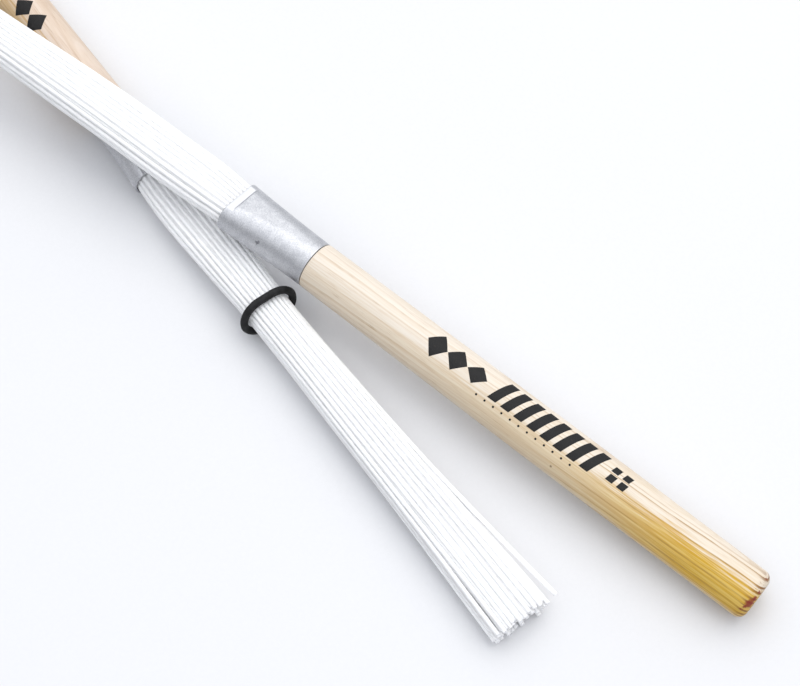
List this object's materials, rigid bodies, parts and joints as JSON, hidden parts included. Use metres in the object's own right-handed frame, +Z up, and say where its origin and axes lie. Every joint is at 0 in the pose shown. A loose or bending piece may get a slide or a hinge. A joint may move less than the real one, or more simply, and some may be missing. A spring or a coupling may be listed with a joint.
{
  "type": "drum brushes",
  "caption": "Pair of drum brushes lying crossed, each with a turned wooden handle, a flattened ferrule, long nylon filaments and a sliding rubber ring.",
  "frame": {"origin": "on the table, under the middle of the pair's footprint", "axes": "+X along the pair, halfway between the two brushes, towards the upper brush's butt and the lower brush's tips; +Z up from the table"},
  "size_m": [0.4308, 0.0716, 0.035],
  "materials": {
    "hickory": "pale hickory, sanded and thinly lacquered, fine brown grain, yellow heartwood towards the butt",
    "aluminium": "satin, fine speckled brushing",
    "resin": "clear amber epoxy, hidden inside the ferrule",
    "nylon": "white nylon monofilament, slightly translucent, satin",
    "rubber": "matt black rubber cord"
  },
  "bodies": {
    "lower_brush": {"lower_handle": "hickory", "lower_ferrule": "aluminium", "lower_resin_plug": "resin"},
    "lower_bristles": {"lower_filament_01": "nylon", "lower_filament_02": "nylon", "lower_filament_03": "nylon", "lower_filament_04": "nylon", "lower_filament_05": "nylon", "lower_filament_06": "nylon", "lower_filament_07": "nylon", "lower_filament_08": "nylon", "lower_filament_09": "nylon", "lower_filament_10": "nylon", "lower_filament_11": "nylon", "lower_filament_12": "nylon", "lower_filament_13": "nylon", "lower_filament_14": "nylon", "lower_filament_15": "nylon", "lower_filament_16": "nylon", "lower_filament_17": "nylon", "lower_filament_18": "nylon", "lower_filament_19": "nylon", "lower_filament_20": "nylon", "lower_filament_21": "nylon", "lower_filament_22": "nylon", "lower_filament_23": "nylon", "lower_filament_24": "nylon", "lower_filament_core": "nylon"},
    "lower_ring": {"lower_rubber_ring": "rubber"},
    "upper_brush": {"upper_handle": "hickory", "upper_ferrule": "aluminium", "upper_resin_plug": "resin"},
    "upper_bristles": {"upper_filament_01": "nylon", "upper_filament_02": "nylon", "upper_filament_03": "nylon", "upper_filament_04": "nylon", "upper_filament_05": "nylon", "upper_filament_06": "nylon", "upper_filament_07": "nylon", "upper_filament_08": "nylon", "upper_filament_09": "nylon", "upper_filament_10": "nylon", "upper_filament_11": "nylon", "upper_filament_12": "nylon", "upper_filament_13": "nylon", "upper_filament_14": "nylon", "upper_filament_15": "nylon", "upper_filament_16": "nylon", "upper_filament_17": "nylon", "upper_filament_18": "nylon", "upper_filament_19": "nylon", "upper_filament_20": "nylon", "upper_filament_21": "nylon", "upper_filament_22": "nylon", "upper_filament_23": "nylon", "upper_filament_24": "nylon", "upper_filament_core": "nylon"},
    "upper_ring": {"upper_rubber_ring": "rubber"}
  },
  "joints": [
    {"name": "upper_brush_lift", "type": "slide", "parent": "lower_brush", "child": "upper_brush", "axis": [0, 0, 1], "range_m": [0, 0.12]},
    {"name": "lower_bristle_sweep", "type": "hinge", "parent": "lower_brush", "child": "lower_bristles", "pos_m": [-0.01566, -0.00297, 0.0082], "axis": [0, 0, -1], "range_deg": [-2.5, 12], "stiffness_Nm_per_rad": 0.5, "deforming": ["lower_filament_01", "lower_filament_02", "lower_filament_03", "lower_filament_04", "lower_filament_05", "lower_filament_06", "lower_filament_07", "lower_filament_08", "lower_filament_09", "lower_filament_10", "lower_filament_11", "lower_filament_12", "lower_filament_13", "lower_filament_14", "lower_filament_15", "lower_filament_16", "lower_filament_17", "lower_filament_18", "lower_filament_19", "lower_filament_20", "lower_filament_21", "lower_filament_22", "lower_filament_23", "lower_filament_24", "lower_filament_core"]},
    {"name": "lower_ring_slide", "type": "slide", "parent": "lower_bristles", "child": "lower_ring", "axis": [-0.9928, 0.1193, 0.0099], "range_m": [-0.022, 0.008]},
    {"name": "upper_bristle_sweep", "type": "hinge", "parent": "upper_brush", "child": "upper_bristles", "pos_m": [0.0159, 0.00341, 0.01897], "axis": [0.025, 0.2349, 0.9717], "range_deg": [-3, 12], "stiffness_Nm_per_rad": 0.5, "deforming": ["upper_filament_01", "upper_filament_02", "upper_filament_03", "upper_filament_04", "upper_filament_05", "upper_filament_06", "upper_filament_07", "upper_filament_08", "upper_filament_09", "upper_filament_10", "upper_filament_11", "upper_filament_12", "upper_filament_13", "upper_filament_14", "upper_filament_15", "upper_filament_16", "upper_filament_17", "upper_filament_18", "upper_filament_19", "upper_filament_20", "upper_filament_21", "upper_filament_22", "upper_filament_23", "upper_filament_24", "upper_filament_core"]},
    {"name": "upper_ring_slide", "type": "slide", "parent": "upper_bristles", "child": "upper_ring", "axis": [0.9847, 0.1659, -0.0536], "range_m": [-0.03, 0.02]}
  ]
}
